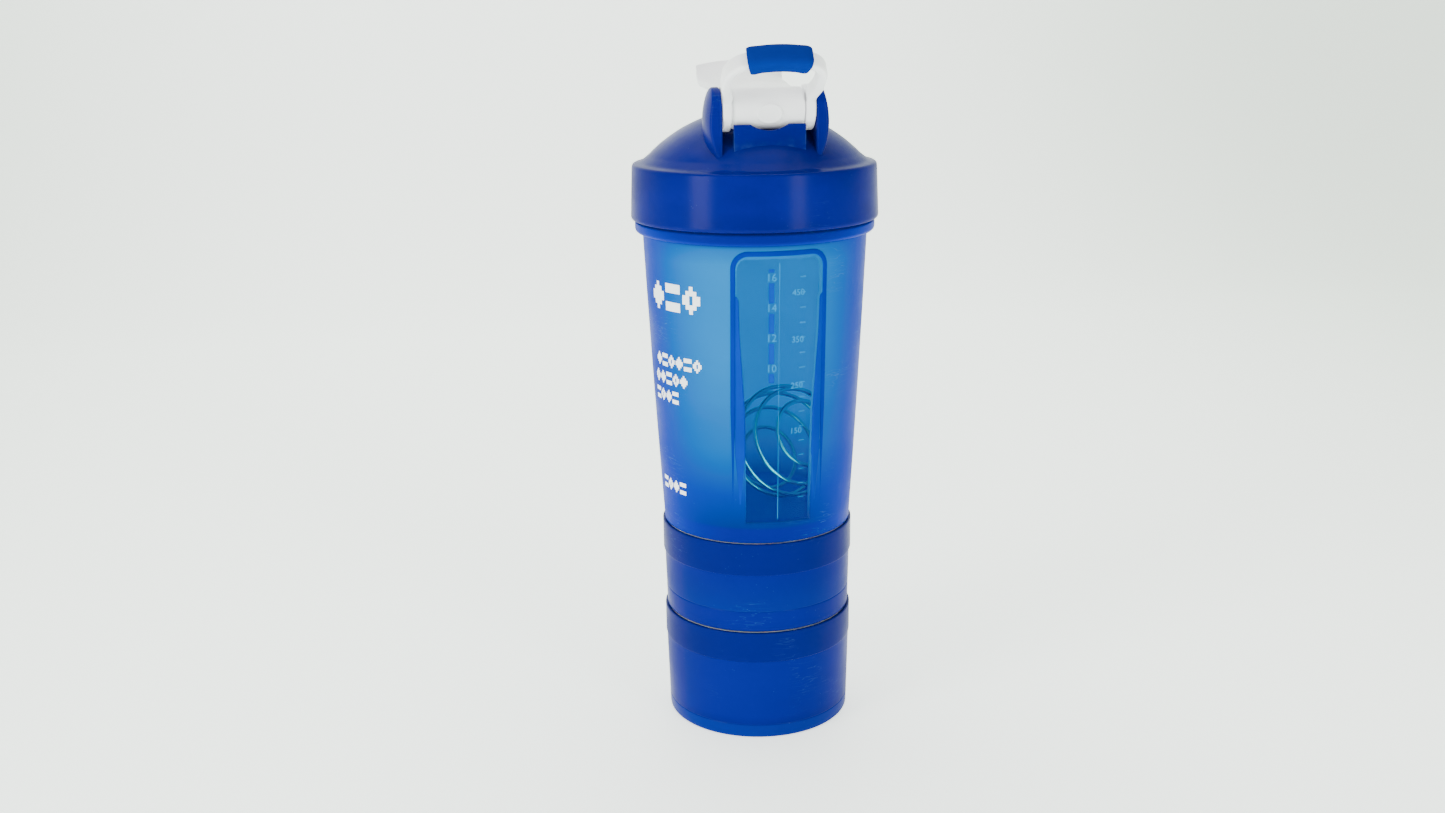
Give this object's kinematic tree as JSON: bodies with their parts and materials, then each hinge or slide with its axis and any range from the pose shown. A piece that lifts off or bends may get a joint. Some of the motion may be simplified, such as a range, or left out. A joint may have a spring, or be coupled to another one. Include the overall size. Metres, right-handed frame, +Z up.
{
  "type": "protein shaker bottle",
  "caption": "Tapered shaker cup with a screw lid, flip cap over a spout, folding carry loop, wire whisk ball, and screw-on storage jars with a pill tray underneath.",
  "frame": {"origin": "centre of the base, on the bottle's axis, at the level it stands on", "axes": "+Z up along the bottle's axis, +Y towards the spout, -Y towards the flip cap's hinge and the carry loop"},
  "size_m": [0.095, 0.103, 0.2682],
  "materials": {
    "deep_blue_plastic": "satin",
    "frosted_blue_plastic": "frosted, with a clear window",
    "jar_blue_plastic": "satin",
    "white_plastic": "satin",
    "soft_blue_grip": "soft matt",
    "clear_silicone": "translucent",
    "tray_plastic": "satin",
    "steel_wire": "polished"
  },
  "bodies": {
    "lower_jar": {"lower_jar": "jar_blue_plastic"},
    "lower_seal": {"lower_jar_seal": "clear_silicone"},
    "upper_jar": {"upper_jar": "jar_blue_plastic"},
    "tray": {"pill_tray": "tray_plastic"},
    "upper_seal": {"upper_jar_seal": "clear_silicone"},
    "cup": {"cup": "frosted_blue_plastic"},
    "whisk": {"whisk_ball": "steel_wire"},
    "lid_seal": {"lid_seal": "clear_silicone"},
    "lid": {"lid": "deep_blue_plastic"},
    "cap": {"flip_cap": "white_plastic", "spout_plug": "clear_silicone"},
    "loop": {"carry_loop": "white_plastic", "loop_grip": "soft_blue_grip"}
  },
  "joints": [
    {"name": "upper_jar_lift", "type": "slide", "parent": "lower_jar", "child": "lower_seal", "axis": [0, 0, 1], "range_m": [0, 0.012]},
    {"name": "upper_jar_turn", "type": "hinge", "parent": "lower_seal", "child": "upper_jar", "pos_m": [0, 0, 0.0455], "axis": [0, 0, 1], "range_deg": [0, 1080]},
    {"name": "tray_lift", "type": "slide", "parent": "upper_jar", "child": "tray", "axis": [0, 0, 1], "range_m": [0, 0.0155]},
    {"name": "cup_lift", "type": "slide", "parent": "upper_jar", "child": "upper_seal", "axis": [0, 0, 1], "range_m": [0, 0.012]},
    {"name": "cup_turn", "type": "hinge", "parent": "upper_seal", "child": "cup", "pos_m": [0, 0, 0.0821], "axis": [0, 0, 1], "range_deg": [0, 1080]},
    {"name": "whisk_slide", "type": "slide", "parent": "cup", "child": "whisk", "axis": [0, 0, 1], "range_m": [0, 0.082]},
    {"name": "lid_lift", "type": "slide", "parent": "cup", "child": "lid_seal", "axis": [0, 0, 1], "range_m": [0, 0.0165]},
    {"name": "lid_turn", "type": "hinge", "parent": "lid_seal", "child": "lid", "pos_m": [0, 0, 0.2015], "axis": [0, 0, 1], "range_deg": [0, 1080]},
    {"name": "cap_flip", "type": "hinge", "parent": "lid", "child": "cap", "pos_m": [0, -0.0255, 0.245], "axis": [1, 0, 0], "range_deg": [0, 110]},
    {"name": "loop_swing", "type": "hinge", "parent": "lid", "child": "loop", "pos_m": [0, -0.0255, 0.245], "axis": [1, 0, 0], "range_deg": [-110, 66]}
  ],
  "couplings": [
    {"joint": "upper_jar_lift", "follows": "upper_jar_turn", "m_per_rad": 0.00063662},
    {"joint": "cup_lift", "follows": "cup_turn", "m_per_rad": 0.00063662},
    {"joint": "lid_lift", "follows": "lid_turn", "m_per_rad": 0.00087535}
  ]
}
